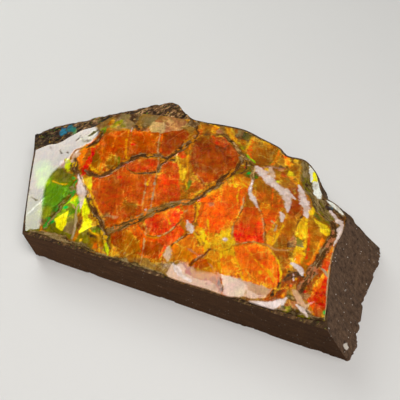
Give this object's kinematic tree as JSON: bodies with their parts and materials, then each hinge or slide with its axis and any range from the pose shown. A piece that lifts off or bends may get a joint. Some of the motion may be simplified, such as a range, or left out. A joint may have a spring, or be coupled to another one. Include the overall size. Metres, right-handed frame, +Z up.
{
  "type": "ammolite specimen",
  "caption": "Sawn piece of dark shale that carries a thin, crazed layer of iridescent fossil shell, orange to red with yellow and green flashes; it rests on its flat underside.",
  "frame": {"origin": "middle of the piece's bounding box, on its flat underside", "axes": "+X along the sawn front face towards the leaning end face, +Y to the broken back, +Z up through the fossil layer"},
  "size_m": [0.1003, 0.0566, 0.0115],
  "materials": {
    "shale": "matte, sawn on the front and broken at the back",
    "ammolite": "polished iridescent shell"
  },
  "bodies": {
    "root": {"shale_matrix": "shale", "ammolite_layer": "ammolite"}
  },
  "joints": []
}
